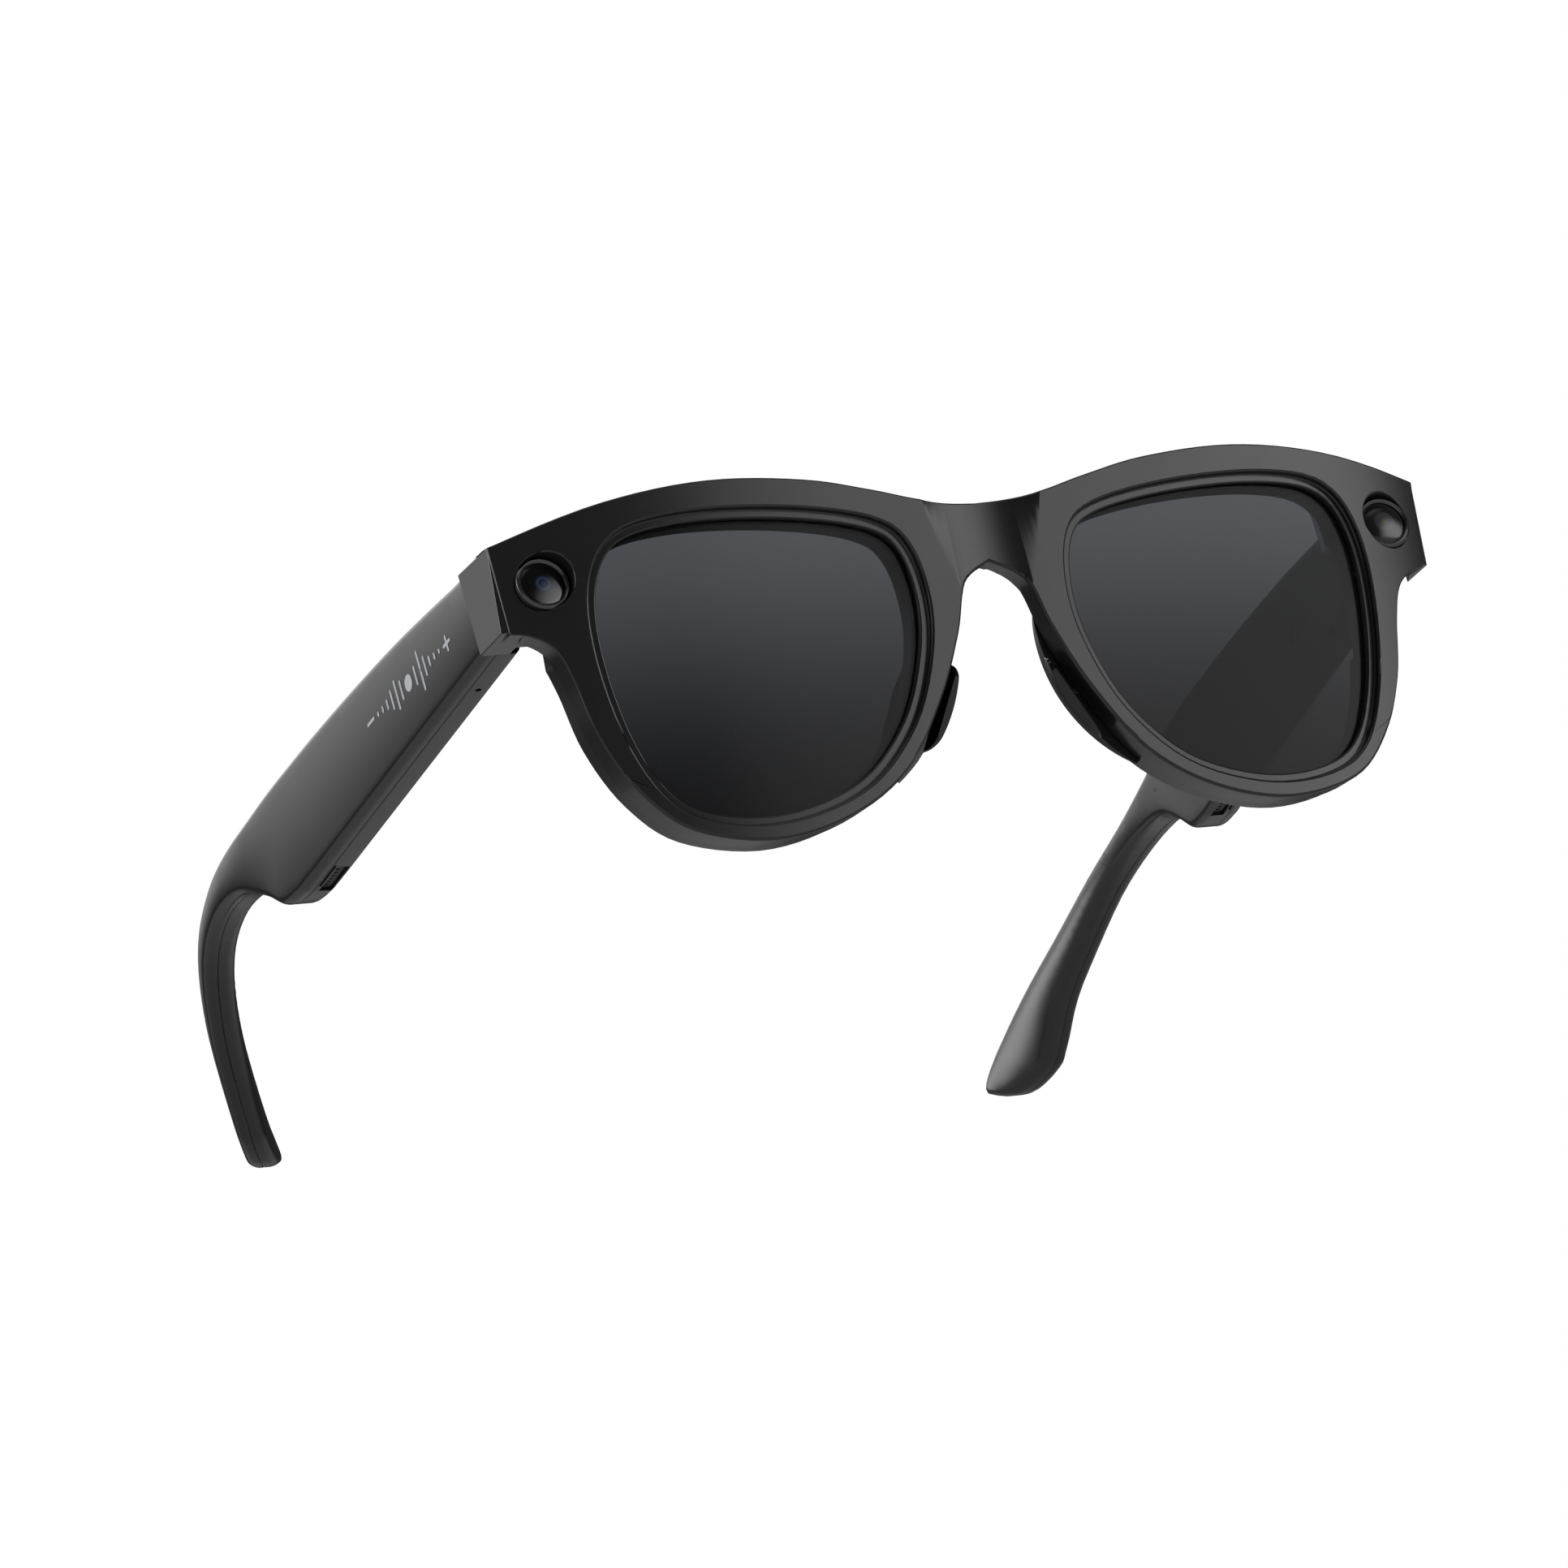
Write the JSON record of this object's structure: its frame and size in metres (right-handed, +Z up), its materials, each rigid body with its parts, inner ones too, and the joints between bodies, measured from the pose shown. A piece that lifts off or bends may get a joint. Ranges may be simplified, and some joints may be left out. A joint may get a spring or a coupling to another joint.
{
  "type": "smart glasses",
  "caption": "Thick black smart glasses with dark lenses, a corner camera and status lamp, and hollow folding temples that hold batteries, speakers and boards.",
  "frame": {"origin": "under the middle of the open glasses, level with the lowest point of the rims", "axes": "X is the width with the wearer's left at +X, +Y runs from the front to the ear tips, +Z is up when worn"},
  "size_m": [0.1588, 0.1632, 0.0545],
  "materials": {
    "frame_plastic": "satin black",
    "rear_plastic": "satin black",
    "temple_plastic": "satin black",
    "cover_plastic": "satin black",
    "lens_glass": "dark gradient tint",
    "pad_rubber": "soft black",
    "bezel_metal": "dark satin",
    "camera_glass": "coated, glossy",
    "lamp_glass": "smoked, domed",
    "barrel_plastic": "black",
    "board": "solder mask",
    "emitter": "phosphor",
    "flex": "polyimide",
    "can_metal": "plain",
    "contact_gold": "plated",
    "hinge_steel": "satin",
    "screw_steel": "bright",
    "battery_foil": "foil",
    "speaker_plastic": "moulded",
    "grille_metal": "black",
    "button_plastic": "satin"
  },
  "bodies": {
    "front": {"front_frame": "frame_plastic", "rear_frame": "rear_plastic", "left_lens": "lens_glass", "right_lens": "lens_glass", "left_nose_pad": "pad_rubber", "right_nose_pad": "pad_rubber", "camera_bezel": "bezel_metal", "camera_window": "camera_glass", "camera_barrel": "barrel_plastic", "camera_sensor": "board", "lamp_bezel": "bezel_metal", "lamp_window": "lamp_glass", "lamp_emitter": "emitter", "lamp_board": "board", "frame_flex": "flex", "bridge_microphone": "can_metal", "charging_contacts": "contact_gold", "left_frame_hinge": "hinge_steel", "right_frame_hinge": "hinge_steel", "left_frame_screws": "screw_steel", "right_frame_screws": "screw_steel", "left_hinge_pin": "screw_steel", "right_hinge_pin": "screw_steel"},
    "left_temple": {"left_temple_shell": "temple_plastic", "left_temple_cover": "cover_plastic", "left_temple_hinge": "hinge_steel", "left_hinge_screws": "screw_steel", "left_battery": "battery_foil", "left_circuit_board": "board", "left_speaker": "speaker_plastic", "left_speaker_grille": "grille_metal", "left_microphone": "can_metal", "power_switch": "speaker_plastic"},
    "right_temple": {"right_temple_shell": "temple_plastic", "right_temple_cover": "cover_plastic", "right_temple_hinge": "hinge_steel", "right_hinge_screws": "screw_steel", "right_battery": "battery_foil", "right_circuit_board": "board", "right_speaker": "speaker_plastic", "right_speaker_grille": "grille_metal", "right_microphone": "can_metal", "touch_sensor": "flex", "capture_switch": "speaker_plastic"},
    "capture_button": {"capture_button": "button_plastic"},
    "power_slider": {"power_slider": "button_plastic"}
  },
  "joints": [
    {"name": "left_temple_fold", "type": "hinge", "parent": "front", "child": "left_temple", "pos_m": [0.0668, -0.06139, 0.0449], "axis": [0, 0, 1], "range_deg": [0, 71]},
    {"name": "right_temple_fold", "type": "hinge", "parent": "front", "child": "right_temple", "pos_m": [-0.0668, -0.06139, 0.0449], "axis": [0, 0, -1], "range_deg": [0, 91.5]},
    {"name": "capture_button_press", "type": "slide", "parent": "right_temple", "child": "capture_button", "axis": [0, 0, -1], "range_m": [0, 0.0004], "stiffness_N_per_m": 2000, "springref_m": -0.0003},
    {"name": "power_slider_slide", "type": "slide", "parent": "left_temple", "child": "power_slider", "axis": [0.0553, 0.9985, 0], "range_m": [0, 0.002]}
  ]
}
